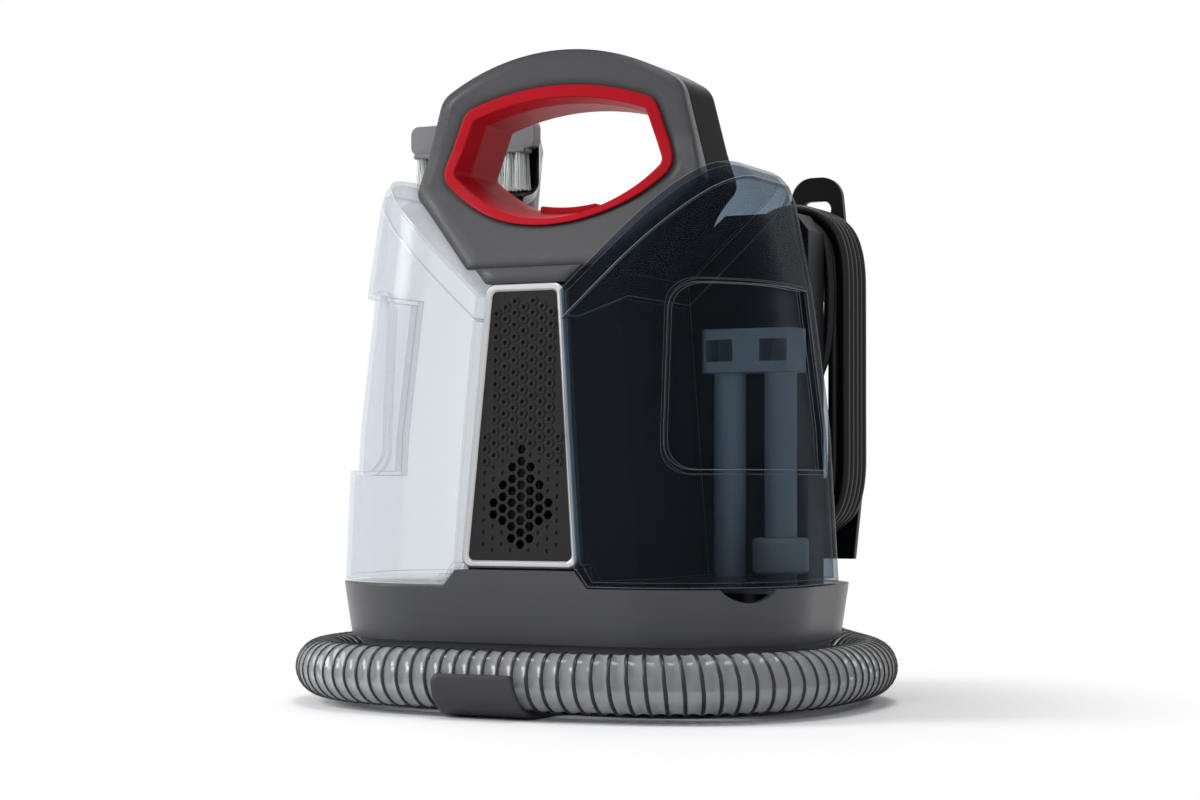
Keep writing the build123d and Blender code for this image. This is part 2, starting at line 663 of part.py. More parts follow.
# Upper housing and handle: its front view crossed with its side view, hollow, in two halves
def handle_front_view(inset):
    with BuildSketch() as view:
        with BuildLine():
            Polyline((-SHOULDER[0], SHOULDER[1]), (-WING[0], WING[1]), (-NECK_HALF, NECK_FOOT),
                     (NECK_HALF, NECK_FOOT), WING, SHOULDER)
            ThreePointArc(SHOULDER, (0, CROWN), (-SHOULDER[0], SHOULDER[1]))
        make_face()
        tops = view.vertices().group_by(Axis.Y)
        fillet(tops[-1], 14)
        fillet(view.vertices().filter_by(lambda v: abs(abs(v.X) - WING[0]) < 0.1), 8)
        if inset:
            offset(amount=-inset, mode=Mode.REPLACE)
    return view.sketch


def handle_side_view(grow):
    with BuildSketch() as view:
        front = [(-80, HOUSING_FOOT), (-50, 277), (GRIP_FRONT, 305), (GRIP_FRONT + 2, 361)]
        back = [(GRIP_BACK - 1, 361), (GRIP_BACK, 300), (3, 270), (22, 256), (COLUMN_BACK, 252)]
        Polygon(*front, *back, (COLUMN_BACK, HOUSING_FOOT), align=None)
        for point, radius in ((front[1], 40), (back[2], 20), (back[3], 20)):
            fillet(view.vertices().sort_by_distance(point)[0], radius)
        if grow:
            offset(amount=grow, kind=Kind.INTERSECTION, mode=Mode.REPLACE)
    return view.sketch


def handle_block(inset):
    with BuildPart() as block:
        with BuildSketch(Plane.XZ.offset(-60)):
            add(handle_front_view(inset))
        extrude(amount=160)
        with BuildSketch(Plane.YZ):
            add(handle_side_view(-inset))
        extrude(amount=120, both=True, mode=Mode.INTERSECT)
    return block.part


def liner_view(inset):
    """The outline of the red liner, drawn in by the inset."""
    with BuildSketch() as view:
        with BuildLine():
            Line((-LINER_SIDE[0], LINER_SIDE[1]), (-LINER_TOP[0], LINER_TOP[1]))
            ThreePointArc((-LINER_TOP[0], LINER_TOP[1]), (0, LINER_CROWN), LINER_TOP)
            Line(LINER_TOP, LINER_SIDE)
            ThreePointArc(LINER_SIDE, (0, LINER_FOOT), (-LINER_SIDE[0], LINER_SIDE[1]))
        make_face()
        fillet(view.vertices(), 11)
        if inset:
            offset(amount=-inset, mode=Mode.REPLACE)
    return view.sketch


with BuildPart() as handle:
    add(handle_block(0))
    add(handle_block(3), mode=Mode.SUBTRACT)
    with BuildSketch(Plane.XZ.offset(-60)):
        add(liner_view(0))
    extrude(amount=160, mode=Mode.SUBTRACT)
for name, keep in (("handle_front", Keep.BOTTOM), ("handle_rear", Keep.TOP)):
    with BuildPart() as handle_part:
        add(handle.part)
        split(bisect_by=Plane.XZ.offset(-GRIP_SPLIT).rotated((180, 0, 0)), keep=keep)
    save(handle_part.part, name)

# Red liner of the grip opening: a lip that follows the front, bevelled in to the sleeve
with BuildPart() as handle_trim:
    with BuildSketch(Plane.XZ.offset(-GRIP_BACK)):
        add(liner_view(0))
        add(liner_view(LINER_BEVEL), mode=Mode.SUBTRACT)
    extrude(amount=80)
    with BuildSketch(Plane.YZ):
        add(handle_side_view(1.2))
    extrude(amount=120, both=True, mode=Mode.INTERSECT)
    for y, inset in ((-72, 1.5), (-34, LINER_BEVEL)):
        with BuildSketch(Plane.XZ.offset(-y)):
            add(liner_view(inset))
    loft(ruled=True, mode=Mode.SUBTRACT)
    with Locations((0, SWITCH[1], SWITCH[2] + 8)):
        Box(39.6, 16.4, 30, mode=Mode.SUBTRACT)
save(handle_trim.part, "handle_trim")

# Power switch: a rocker in the bottom of the grip opening, on a pin in its own frame
with BuildSketch() as rocker:
    with BuildLine():
        ThreePointArc((-17.5, 19.2), (0, 17.6), (17.5, 19.2))
        Polyline((17.5, 19.2), (17.5, 11), (6, -3.5), (-6, -3.5), (-17.5, 11), (-17.5, 19.2))
    make_face()
    fillet(rocker.vertices().group_by(Axis.Y)[-1], 1.5)
    Circle(1.55, mode=Mode.SUBTRACT)
with BuildPart() as power_switch:
    with BuildSketch(Plane.XZ.offset(-SWITCH[1])):
        with Locations((0, SWITCH[2])):
            add(rocker.sketch)
    extrude(amount=7.7, both=True)
save(power_switch.part, "power_switch")

with BuildPart() as switch_body:
    with Locations((0, SWITCH[1], HOUSING_FOOT + 3)):
        Box(40, 20, 20, align=UP)
    with Locations((0, SWITCH[1], HOUSING_FOOT + 7)):
        Box(36, 16.6, 20, align=UP, mode=Mode.SUBTRACT)
    with Locations(Location(SWITCH, (90, 0, 0))):
        Cylinder(1.5, 19)
save(switch_body.part, "switch_body")

# Rear housing and its cover, which carries the hooks
with BuildPart() as rear_housing:
    add(side_prism(REAR_OUTLINE, COLUMN_BACK, REAR_BACK - COVER_THICK))
    with BuildSketch(Plane.XZ.offset(COVER_THICK - REAR_BACK)):
        Polygon(*REAR_OUTLINE, align=None)
        offset(amount=-WALL, mode=Mode.REPLACE)
    extrude(amount=REAR_BACK - COVER_THICK - COLUMN_BACK - WALL, mode=Mode.SUBTRACT)
    with Locations((0, COLUMN_BACK, 90)):
        Box(56, 20, 120, align=UP, mode=Mode.SUBTRACT)
save(rear_housing.part, "rear_housing")

with BuildPart() as rear_cover:
    add(side_prism(REAR_OUTLINE, REAR_BACK - COVER_THICK, REAR_BACK))
    with BuildSketch(Plane.XZ.offset(-REAR_BACK)):
        with Locations((-14, 128)):
            with GridLocations(1, 9, 1, 10):
                SlotOverall(64, 4)
    extrude(amount=10, both=True, mode=Mode.SUBTRACT)
    with Locations(Location((HOOK_X, REAR_BACK, HOOK_HIGH), (-90, 0, 0))):
        Cylinder(8, 38, align=UP)
save(rear_cover.part, "rear_cover")

# Cord hooks: the upper one swivels to drop the cord, the lower one is fixed
with BuildPart() as cord_hook_upper:
    with BuildSketch(Plane.XZ.offset(-HOOK_REACH)):
        with Locations((HOOK_X, HOOK_HIGH)):
            Circle(HOOK_RADIUS)
            with Locations((0, -1)):
                Rectangle(60, 60, align=(Align.CENTER, Align.MAX), mode=Mode.SUBTRACT)
            Circle(12)
    extrude(amount=HOOK_REACH - REAR_BACK - 0.3)
    with BuildSketch(Plane.XZ.offset(-HOOK_REACH - HOOK_TIP)) as hook_tip:
        with Locations((HOOK_X, HOOK_HIGH)):
            Trapezoid(40, 53, 84, align=(Align.CENTER, Align.MIN))
        fillet(hook_tip.vertices().group_by(Axis.Y)[-1], 13)
        with Locations((HOOK_X, HOOK_HIGH)):
            Circle(20)
    extrude(amount=HOOK_TIP)
    with BuildSketch(Plane.XZ.offset(-HOOK_REACH - HOOK_TIP)):
        with Locations((HOOK_X, HOOK_HIGH + 34)):
            SlotOverall(18, 10)
    extrude(amount=HOOK_TIP, mode=Mode.SUBTRACT)
    with Locations(Location((HOOK_X, REAR_BACK, HOOK_HIGH), (-90, 0, 0))):
        Cylinder(8.05, 38.4, align=UP, mode=Mode.SUBTRACT)
save(cord_hook_upper.part, "cord_hook_upper")

with BuildPart() as cord_hook_lower:
    with BuildSketch(Plane.XZ.offset(-HOOK_REACH)):
        with Locations((HOOK_X, HOOK_LOW)):
            Circle(HOOK_RADIUS)
            with Locations((0, 1)):
                Rectangle(60, 60, align=(Align.CENTER, Align.MIN), mode=Mode.SUBTRACT)
    extrude(amount=HOOK_REACH - REAR_BACK)
    with BuildSketch(Plane.XZ.offset(-HOOK_REACH - HOOK_TIP)):
        with Locations((HOOK_X, HOOK_LOW)):
            Trapezoid(56, 46, 84, rotation=180, align=(Align.CENTER, Align.MIN))
    extrude(amount=HOOK_TIP)
save(cord_hook_lower.part, "cord_hook_lower")

# Suction hose: port at the back of the tray, cuffs at both ends and the ribbed tube between them
with BuildPart() as hose_port:
    add(tube([(0, 86, 19), (0, 120, 19), HOSE_ROUTE[0]], 16.4, 18, HOSE_ID / 2))
    with Locations(Location((0, TRAY_HALF[1], 19), (-90, 0, 0))):
        Cylinder(16.95, 3, align=UP)
        Cylinder(HOSE_ID / 2, 40, mode=Mode.SUBTRACT)
save(hose_port.part, "hose_port")

bends = []
for before, corner, after in zip(HOSE_ROUTE, HOSE_ROUTE[1:], HOSE_ROUTE[2:]):
    arrive, leave = Vector(corner) - Vector(before), Vector(after) - Vector(corner)
    half_turn = math.radians(arrive.get_angle(leave)) / 2
    bends.append(0.45 * min(arrive.length, leave.length) / math.tan(half_turn))
print("hose bend radii", [round(bend, 1) for bend in bends])
with BuildLine() as hose_line:
    FilletPolyline(*HOSE_ROUTE, radius=bends)
HOSE_PATH = hose_line.wire()
HOSE_RIBS = HOSE_SPAN * round(HOSE_PATH.length / HOSE_PITCH / HOSE_SPAN)


def hose_section(share):
    """A plane across the hose, turned the same way all along it."""
    along = HOSE_PATH % share
    across = Vector(0.5, 0.3, 0.8)
    return Plane(HOSE_PATH @ share, x_dir=across - along * across.dot(along), z_dir=along)


def hose_ribs(first, last):
    """A length of hose from one rib to another: crests, and grooves with sloping sides."""
    with BuildPart() as length:
        stations = [(first, CREST)]
        for rib in range(first, last):
            for step, radius in ((0.32, CREST), (0.5, GROOVE), (0.74, GROOVE), (0.92, CREST)):
                stations.append((rib + step, radius))
        for rib, radius in [*stations, (last, CREST)]:
            with BuildSketch(hose_section(rib / HOSE_RIBS)):
                Circle(radius)
        loft(ruled=True)
    return length.part


CREST, GROOVE = HOSE_OD / 2, HOSE_OD / 2 - HOSE_GROOVE
with BuildPart() as suction_hose:
    add([hose_ribs(rib, rib + HOSE_SPAN) for rib in range(0, HOSE_RIBS, HOSE_SPAN)])
    with BuildSketch(hose_section(0)):
        Circle(HOSE_ID / 2)
    sweep(path=HOSE_PATH, mode=Mode.SUBTRACT)
save(suction_hose.part, "suction_hose")
mean = math.pi * (0.58 * CREST**2 + 0.42 * GROOVE**2 - HOSE_ID**2 / 4) * HOSE_PATH.length
print("hose length", round(HOSE_PATH.length), "ribs", HOSE_RIBS)
print("hose volume", round(suction_hose.part.volume), "section times length", round(mean))

# Mains cord: a boot on the cover, two layers of turns round the hooks, and a tail with the plug
CORD_START = Vector(104, CORD_FIRST_Y, 160)
with BuildPart() as cord_gland:
    with Locations((CORD_START.X, CORD_START.Y, 132)):
        Cylinder(4.6, 28, align=UP)
    with Locations((CORD_START.X, REAR_BACK, 132)):
        Box(12, CORD_START.Y - REAR_BACK, 16, align=(Align.CENTER, Align.MIN, Align.MIN))
save(cord_gland.part, "cord_gland")

RISE, FALL = Vector(0, 0, 1), Vector(0, 0, -1)


def biarc(start, leave, end, arrive):
    """Two arcs that join two points with given headings, and points along them."""
    gap = end - start
    spread = 2 - 2 * leave.dot(arrive)
    reach = gap.dot(leave + arrive)
    if spread < 1e-6:
        handle_length = gap.dot(gap) / (2 * reach)
    else:
        handle_length = (math.sqrt(reach**2 + spread * gap.dot(gap)) - reach) / spread
    first, second = start + leave * handle_length, end - arrive * handle_length
    middle = (first + second) / 2
    TangentArc(start, middle, tangent=leave)
    TangentArc(middle, end, tangent=second - first)


with BuildLine() as cord_line:
    place, heading, radius, y = CORD_START, RISE, CORD_INNER, CORD_FIRST_Y
    run_end = Vector(HOOK_X + radius, y, 205)
    after = Vector(CORD_START.X, y, 167)
    Line(place, after)
    biarc(after, RISE, run_end, RISE)
    place = Vector(HOOK_X + radius, y, HOOK_HIGH)
    Line(run_end, place)
    for half_turn in range(2 * CORD_HALF_TURNS - 1):
        if half_turn == CORD_HALF_TURNS:
            radius += CORD_STEP
        y += CORD_STEP / 2 if half_turn < CORD_HALF_TURNS else -CORD_STEP / 2
        side = -1 if heading == RISE else 1
        over = Vector(HOOK_X + side * radius, y, place.Z)
        biarc(place, heading, over, heading * -1)
        heading = heading * -1
        if half_turn < 2 * CORD_HALF_TURNS - 2:
            place = Vector(over.X, y, HOOK_LOW if heading == FALL else HOOK_HIGH)
            if half_turn == CORD_HALF_TURNS - 1:
                place = Vector(HOOK_X - radius - CORD_STEP, y, HOOK_LOW)
                biarc(over, heading, place, heading)
            else:
                Line(over, place)
    tail = over + FALL * 8
    Line(over, tail)
    hang = Vector(30, 76, 186)
    biarc(tail, FALL, hang, FALL)
    cord_end = hang + FALL * 8
    Line(hang, cord_end)
CORD_PATH = cord_line.wire()
with BuildPart() as power_cord:
    with BuildSketch(Plane(CORD_PATH @ 0, z_dir=CORD_PATH % 0)):
        Circle(CORD_OD / 2)
    sweep(path=CORD_PATH)
save(power_cord.part, "power_cord")
marks = [tuple(CORD_PATH @ (step / 3000)) for step in range(3001)]
apart = math.ceil(4 * CORD_OD * 3000 / CORD_PATH.length)
closest = min(math.dist(marks[i], mark) for i in range(3001 - apart) for mark in marks[i + apart:])
print("cord length", round(CORD_PATH.length), "least gap to itself", round(closest - CORD_OD, 2))
print("cord volume", round(power_cord.part.volume), "section times length",
      round(math.pi * CORD_OD**2 / 4 * CORD_PATH.length))

with BuildPart() as power_plug:
    for drop, radius in ((0, 4.5), (14, 5.5), (22, 9.5), (44, 10.5)):
        with BuildSketch(Plane.XY.offset(cord_end.Z - drop)):
            with Locations((cord_end.X, cord_end.Y)):
                Circle(radius)
    loft(ruled=True)
save(power_plug.part, "power_plug")

with BuildPart() as plug_pins:
    with Locations((cord_end.X, cord_end.Y, cord_end.Z - 44)):
        with GridLocations(12.7, 1, 2, 1):
            Box(1.5, 6.4, 17, align=(Align.CENTER, Align.CENTER, Align.MAX))
save(plug_pins.part, "plug_pins")

# Hand tool: a hollow handle on the hose's end, with a trigger, and a head that pulls off
TOOL_FOOT = Vector(HOSE_ROUTE[-1])
TOOL_AXIS = (TOOL_FOOT - Vector(HOSE_ROUTE[-2])).normalized()
TOOL = Plane(TOOL_FOOT, x_dir=Vector(1, 0, 0) - TOOL_AXIS * TOOL_AXIS.X, z_dir=TOOL_AXIS)
GRIP_SECTIONS = [(0, 36, 36, 17.9), (26, 35, 38, 17.0), (78, 31, 38, 15.2), (GRIP_LENGTH, 30, 32, 14.9)]
PIVOT = (0, 15.5, 84)
with BuildPart() as tool_handle:
    for height, width, depth, corner in GRIP_SECTIONS:
        with BuildSketch(TOOL.offset(height)):
            RectangleRounded(width, depth, corner)
    loft(ruled=True)
    with BuildSketch(TOOL.offset(GRIP_LENGTH)):
        Circle(SPIGOT)
    extrude(amount=SPIGOT_LENGTH)
    with BuildSketch(TOOL):
        Circle(11)
    extrude(amount=GRIP_LENGTH + SPIGOT_LENGTH, mode=Mode.SUBTRACT)
    with BuildSketch(TOOL.offset(38)):
        with Locations((0, 12.5)):
            Rectangle(11.8, 20, align=(Align.CENTER, Align.MIN))
    extrude(amount=52, mode=Mode.SUBTRACT)
    with Locations(TOOL.location * Location(PIVOT, (0, 90, 0))):
        Cylinder(1.5, 16)
save(tool_handle.part, "tool_handle")

TRIGGER = Plane(TOOL_FOOT, x_dir=TOOL.y_dir, z_dir=TOOL.x_dir)
with BuildPart() as tool_trigger:
    with BuildSketch(TRIGGER):
        Polygon((12.9, 88), (19, 88), (20.5, 78), (23, 46), (22, 41), (17, 41), (13.2, 78), align=None)
        with Locations(PIVOT[1:]):
            Circle(1.55, mode=Mode.SUBTRACT)
    extrude(amount=5.5, both=True)
save(tool_trigger.part, "tool_trigger")


def nozzle_loft(inset):
    """The head's throat, from the round socket to the wide flat mouth."""
    neck = TOOL.offset(GRIP_LENGTH)
    with BuildPart() as throat:
        for plane, width, depth, corner in (
            (neck, 31, 31, 15.4),
            (neck.offset(18), 32, 32, 15.9),
            (Plane((-103.6, 80, 295), x_dir=(1, 0, 0), z_dir=(0, -0.6, 0.8)), 50, 32, 13),
            (Plane((-104.4, 66, 309), x_dir=(1, 0, 0), z_dir=(0, -0.9, 0.436)), 70, 40, 10),
            (Plane(SOLE, x_dir=(1, 0, 0), z_dir=(0, -1, 0)), *SOLE_SIZE, 8),
        ):
            with BuildSketch(plane):
                RectangleRounded(width - 2 * inset, depth - 2 * inset, corner - inset)
        loft(ruled=True)
    return throat.part


with BuildPart() as tool_nozzle:
    add(nozzle_loft(0))
    add(nozzle_loft(2.4), mode=Mode.SUBTRACT)
    with BuildSketch(TOOL.offset(GRIP_LENGTH)):
        Circle(15.4)
        Circle(SPIGOT + 0.05, mode=Mode.SUBTRACT)
    extrude(amount=SPIGOT_LENGTH + 1)
save(tool_nozzle.part, "tool_nozzle")

PLATE_BACK, PLATE_FRONT = SOLE[1], SOLE[1] - 8
with BuildPart() as tool_head_plate:
    with BuildSketch(Plane.XZ.offset(-PLATE_BACK)):
        with Locations((SOLE[0], 327.5)):
            RectangleRounded(84, 17, 5)
    extrude(amount=8)
    with Locations(Location((SOLE[0], PLATE_FRONT, 328), (90, 0, 0))):
        Cylinder(3.6, 2, mode=Mode.SUBTRACT)
        Cylinder(1.6, 30, mode=Mode.SUBTRACT)
save(tool_head_plate.part, "tool_head_plate")

with BuildPart() as tool_screw:
    with Locations(Location((SOLE[0], PLATE_FRONT + 0.8, 328), (-90, 0, 0))):
        Cylinder(1.6, 6.5, align=UP)
        Cylinder(3.4, 0.2, align=UP)
        Cylinder(3.4, 1.2, align=(Align.CENTER, Align.CENTER, Align.MAX))
save(tool_screw.part, "tool_screw")

# Bristles: two rows of tufts of square strands under a strip of backing
with BuildPart() as tool_bristles:
    with Locations((SOLE[0], 46.6, 316)):
        Box(76, 9.6, 3, align=UP)
    with BuildSketch(Plane.XY.offset(316.2)):
        with Locations((SOLE[0], 46.6)):
            with GridLocations(7.4, 4.8, 10, 2):
                with GridLocations(1.15, 1.15, 6, 3):
                    Rectangle(0.8, 0.8)
    extrude(amount=-22)
save(tool_bristles.part, "tool_bristles")

# Tool holder: a cradle on the rear cover, open to the back
HOLD = 47.0
with BuildPart() as tool_holder:
    with BuildSketch(TOOL.offset(HOLD - 9)):
        Circle(24)
        Circle(20.4, mode=Mode.SUBTRACT)
        with Locations((0, 6)):
            Rectangle(60, 60, align=(Align.CENTER, Align.MIN), mode=Mode.SUBTRACT)
    extrude(amount=18)
    hold = TOOL.offset(HOLD).origin
    with Locations((hold.X, REAR_BACK, hold.Z)):
        Box(14, hold.Y - 21.6 - REAR_BACK, 14, align=(Align.CENTER, Align.MIN, Align.CENTER))
save(tool_holder.part, "tool_holder")

# Cuffs: sleeves over the two ends of the hose
for name, share, reach in (("hose_cuff_base", 0.0, 22), ("hose_cuff_tool", 1.0, -16)):
    with BuildPart() as cuff:
        with BuildSketch(hose_section(share)):
            Circle(CREST + 2.4)
            Circle(CREST + 0.1, mode=Mode.SUBTRACT)
        extrude(amount=reach)
    save(cuff.part, name)
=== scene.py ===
import math
import random

import bmesh
import bpy
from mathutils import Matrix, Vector


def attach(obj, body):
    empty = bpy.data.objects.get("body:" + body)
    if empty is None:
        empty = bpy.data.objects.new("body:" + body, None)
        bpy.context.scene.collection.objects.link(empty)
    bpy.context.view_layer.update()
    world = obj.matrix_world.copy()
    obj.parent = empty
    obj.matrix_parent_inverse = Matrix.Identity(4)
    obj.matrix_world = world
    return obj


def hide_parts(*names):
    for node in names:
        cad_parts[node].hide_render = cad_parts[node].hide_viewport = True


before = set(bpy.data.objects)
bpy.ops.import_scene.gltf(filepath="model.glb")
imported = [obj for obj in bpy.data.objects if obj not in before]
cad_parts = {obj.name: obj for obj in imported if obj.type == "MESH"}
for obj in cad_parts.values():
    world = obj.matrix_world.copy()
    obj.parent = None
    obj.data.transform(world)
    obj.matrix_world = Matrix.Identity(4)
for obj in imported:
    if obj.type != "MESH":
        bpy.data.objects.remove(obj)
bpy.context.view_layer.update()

# Camera: level and low, about 26 degrees round to the viewer's right of straight ahead, with a
# long lens, so that uprights stay upright as they do in the photograph.
VIEW_AZIMUTH = math.radians(26.2)
VIEW_DISTANCE = 1.382
EYE_HEIGHT = 0.120
FOCAL_PIXELS = 2462.0
PICTURE = (1200.0, 800.0)
AXIS_PIXEL = (595.0, 485.0)
lens = bpy.data.cameras.new("camera")
lens.sensor_width = 36.0
lens.lens = lens.sensor_width * FOCAL_PIXELS / PICTURE[0]
lens.shift_x = (PICTURE[0] / 2 - AXIS_PIXEL[0]) / PICTURE[0]
lens.shift_y = (AXIS_PIXEL[1] - PICTURE[1] / 2) / PICTURE[0]
camera = bpy.data.objects.new("camera", lens)
camera.location = (
    VIEW_DISTANCE * math.sin(VIEW_AZIMUTH),
    -VIEW_DISTANCE * math.cos(VIEW_AZIMUTH),
    EYE_HEIGHT,
)
camera.rotation_euler = (math.radians(90), 0, VIEW_AZIMUTH)
bpy.context.scene.collection.objects.link(camera)
bpy.context.scene.camera = camera
bpy.context.scene.view_settings.view_transform = "Standard"
WALLS_SEEN_THROUGH = 24
bpy.context.scene.cycles.transparent_max_bounces = WALLS_SEEN_THROUGH


# Suction hose: clear smoke-tinted film welded over a black plastic helix, with the thin water
# tube inside it. It leaves the port at the back, goes once round the base and rises to the tool.
HOSE_ROUTE = [
    (-0.0200, 0.1200, 0.0190),
    (-0.0758, 0.1200, 0.0190),
    (-0.1222, 0.0932, 0.0190),
    (-0.1490, 0.0468, 0.0190),
    (-0.1490, -0.0448, 0.0190),
    (-0.1222, -0.0912, 0.0190),
    (-0.0758, -0.1180, 0.0190),
    (0.0000, -0.1205, 0.0190),
    (0.0758, -0.1180, 0.0190),
    (0.1222, -0.0912, 0.0190),
    (0.1490, -0.0448, 0.0190),
    (0.1490, 0.0400, 0.0190),
    (0.1338, 0.0767, 0.0190),
    (0.1057, 0.1048, 0.0210),
    (0.0689, 0.1205, 0.0300),
    (0.0320, 0.1215, 0.0460),
    (-0.0050, 0.1200, 0.0615),
    (-0.0360, 0.1170, 0.0850),
    (-0.0580, 0.1115, 0.1170),
    (-0.0690, 0.1070, 0.1550),
]
HOSE_RADIUS = 0.016
HOSE_PITCH = 0.0084
HOSE_AROUND = 40
RINGS_PER_PITCH = 8
PLAIN_END_RINGS = 4
FILM_SAG = 0.0011
FILM_INSET = 0.0002
HELIX_WIRE = 0.00105
HELIX_PROUD = 0.0001
HELIX_FLAT = 1.15
HELIX_STEPS = 28
HELIX_AROUND = 8
WATER_RADIUS = 0.0032
WATER_AROUND = 12
WATER_EVERY = 6
WATER_DROP = Vector((0, 0, 0.0068))


def link(piece):
    """Puts an object in the scene."""
    bpy.context.scene.collection.objects.link(piece)
    return piece


def smooth_line(name, route, resolution):
    """A curve whose NURBS spline has the route as its control points."""
    line = bpy.data.curves.new(name, "CURVE")
    line.dimensions = "3D"
    spline = line.splines.new("NURBS")
    spline.points.add(len(route) - 1)
    for point, place in zip(spline.points, route):
        point.co = (*place, 1.0)
    spline.order_u = 3
    spline.use_endpoint_u = True
    spline.resolution_u = resolution
    return link(bpy.data.objects.new(name, line))


def points_along(line, gap):
    """Points at even steps along a curve's own smooth line."""
    bare = bpy.data.meshes.new_from_object(line)
    dots = [vertex.co.copy() for vertex in bare.vertices]
    bpy.data.meshes.remove(bare)
    lengths = [0.0]
    for before, after in zip(dots, dots[1:]):
        lengths.append(lengths[-1] + (after - before).length)
    count = round(lengths[-1] / gap)
    places, i = [], 0
    for step in range(count + 1):
        wanted = lengths[-1] * step / count
        while i < len(dots) - 2 and lengths[i + 1] < wanted:
            i += 1
        share = (wanted - lengths[i]) / (lengths[i + 1] - lengths[i])
        places.append(dots[i].lerp(dots[i + 1], share))
    return places, lengths[-1]


def frames_along(places, across=Vector((0.5, 0.3, 0.8))):
    """Two directions across the line at each point, turned the same way all along it."""
    sides = []
    for i in range(len(places)):
        ahead = (places[min(i + 1, len(places) - 1)] - places[max(i - 1, 0)]).normalized()
        side = (across - ahead * across.dot(ahead)).normalized()
        sides.append((side, ahead.cross(side)))
    return sides


def new_piece(name, verts, faces, material, smooth=True):
    """A mesh object of one material."""
    mesh = bpy.data.meshes.new(name)
    mesh.from_pydata([tuple(vert) for vert in verts], [], faces)
    mesh.materials.append(material)
    if smooth:
        mesh.shade_smooth()
    return link(bpy.data.objects.new(name, mesh))


def tube_faces(rings, around, ends=True):
    """Faces between rings of points, with a cap at each end if wanted."""
    faces = []
    for ring in range(rings - 1):
        for k in range(around):
            a, b = ring * around + k, ring * around + (k + 1) % around
            faces.append((a, b, b + around, a + around))
    if ends:
        faces.append(tuple(reversed(range(around))))
        faces.append(tuple(range((rings - 1) * around, rings * around)))
    return faces


class Field:
    """A node's output that changes over a surface; arithmetic on it adds Math nodes."""

    def __init__(self, tree, socket=None):
        self.tree, self.socket = tree, socket

    def node(self, kind, sockets=None, out=0, **settings):
        """A new node: its settings first, then the values or links of its sockets."""
        made = self.tree.nodes.new("ShaderNode" + kind)
        for name, value in settings.items():
            setattr(made, name, value)
        for name, value in (sockets or {}).items():
            if isinstance(value, Field):
                self.tree.links.new(value.socket, made.inputs[name])
            else:
                made.inputs[name].default_value = value
        return Field(self.tree, made.outputs[out])

    def maths(self, operation, other):
        return self.node("Math", {0: self, 1: other}, operation=operation)

    def __add__(self, other):
        return self.maths("ADD", other)

    def __mul__(self, other):
        return self.maths("MULTIPLY", other)

    def __pow__(self, other):
        return self.maths("POWER", other)

    __radd__ = __add__
    __rmul__ = __mul__

    def between(self, low, high):
        """A colour between two colours, by this value."""
        ends = {6: (*low, 1.0), 7: (*high, 1.0)}
        return self.node("Mix", {0: self, **ends}, out=2, data_type="RGBA")


def blank(name):
    """A new material and a starting field in it."""
    made = bpy.data.materials.new(name)
    made.use_nodes = True
    return made, Field(made.node_tree)


def finish_with(made, **sockets):
    """Sets or links the sockets of the material's Principled shader."""
    shader = made.node_tree.nodes["Principled BSDF"]
    for name, value in sockets.items():
        socket = shader.inputs[name.replace("_", " ")]
        if isinstance(value, Field):
            made.node_tree.links.new(value.socket, socket)
        else:
            socket.default_value = value
    return made


def shader_of(made):
    """The output of the material's Principled shader."""
    return Field(made.node_tree, made.node_tree.nodes["Principled BSDF"].outputs[0])


def mix_over(made, share, under, over):
    """Shows two shaders mixed on the material's surface."""
    mixed = share.node("MixShader", {0: share, 1: under, 2: over})
    surface = made.node_tree.nodes["Material Output"].inputs["Surface"]
    made.node_tree.links.new(mixed.socket, surface)
    return made


def clear_plastic(name, tint, film, least, most, rough, rim=0.5, soft=0.0007, shine=0.7):
    """Clear plastic: seen through square on, a gloss film at a slant, painted paler and more
    opaque where a wall turns as a painted highlight.
    """
    made, field = blank(name)
    place = field.node("TexCoord", out="Object")
    cloud = field.node("TexNoise", {"Vector": place, "Scale": 9.0, "Detail": 2.0})
    slant = field.node("LayerWeight", {"Blend": 0.5}, out="Facing")
    edge = field.node("Bevel", {"Radius": soft}, samples=12)
    true = field.node("NewGeometry", out="Normal")
    along = field.node("VectorMath", {0: edge, 1: true}, out="Value", operation="DOT_PRODUCT")
    # Painted highlight: where the Bevel-softened normal turns away from the true normal, the film
    # colour runs to pale and the rim share makes it show more, drawing bright outlines along rims,
    # seams and recesses.
    edge_highlight_mask = field.node("MapRange", {0: along, 1: 0.995, 2: 0.80, 3: 0.0, 4: 1.0})
    wave = field.node("Bump", {"Height": cloud, "Strength": 0.05, "Distance": 0.004})
    pale = tuple(0.45 * c + 0.40 for c in film)
    finish_with(
        made,
        Base_Color=edge_highlight_mask.between(film, pale),
        Roughness=cloud * 0.06 + rough,
        Normal=wave,
        IOR=1.5,
        Specular_IOR_Level=shine,
    )
    seen = field.node("BsdfTransparent", {"Color": (*tint, 1.0)})
    share = slant**3.0 * (most - least) + (edge_highlight_mask * rim + (cloud * 0.02 + least))
    return mix_over(made, share, seen, shader_of(made))


